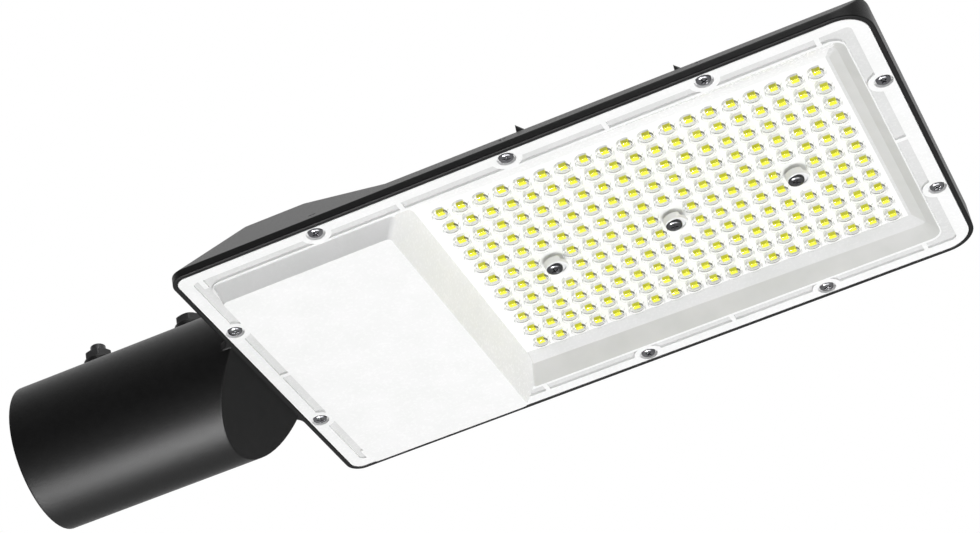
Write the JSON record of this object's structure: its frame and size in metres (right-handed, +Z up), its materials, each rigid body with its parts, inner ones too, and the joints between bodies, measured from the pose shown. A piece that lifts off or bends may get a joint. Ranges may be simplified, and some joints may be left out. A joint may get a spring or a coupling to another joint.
{
  "type": "led street light head",
  "caption": "Street light head: finned die-cast housing on a pole spigot, closed from below by a clear cover with a driver bulge and a leaning plate of lenses.",
  "frame": {"origin": "centre of the spigot's mouth, on the spigot's axis", "axes": "+X from the pole to the tip of the head, +Y to the side, +Z up; the light leaves along -Z"},
  "size_m": [0.4697, 0.207, 0.0919],
  "materials": {
    "black_casting": "fine-textured powder coat",
    "clear_cover": "clear moulded polycarbonate over white pieces",
    "silicone": "matt",
    "dark_chrome": "dark nickel plating",
    "white_sheet": "satin",
    "white_board": "white solder mask on aluminium",
    "phosphor": "yellow phosphor in clear resin",
    "thermal_grey": "matt",
    "zinc": "zinc plated",
    "black_plastic": "matt",
    "driver_case": "brushed",
    "white_plastic": "matt",
    "brass_lug": "satin",
    "green_insulation": "satin",
    "red_insulation": "satin",
    "blue_insulation": "satin",
    "blackened_steel": "black oxide"
  },
  "bodies": {
    "root": {"housing": "black_casting", "lens_cover": "clear_cover", "cover_gasket": "silicone", "cover_screws": "dark_chrome", "bay_liner": "white_sheet", "led_board": "white_board", "led_chips": "phosphor", "thermal_pad": "thermal_grey", "board_connector": "white_plastic", "board_screws": "dark_chrome", "driver_tray": "white_sheet", "tray_screws": "zinc", "driver_unit": "driver_case", "driver_screws": "zinc", "surge_protector": "white_plastic", "terminal_block": "white_plastic", "cable_grommet": "black_plastic", "cable_strap": "black_plastic", "strap_screws": "zinc", "earth_screw": "zinc", "earth_lug": "brass_lug", "earth_lead": "green_insulation", "mains_leads": "blue_insulation", "surge_leads": "blue_insulation", "led_leads": "red_insulation", "breather_vent": "black_plastic", "clamp_bolts": "blackened_steel", "lock_nuts": "blackened_steel"}
  },
  "joints": []
}
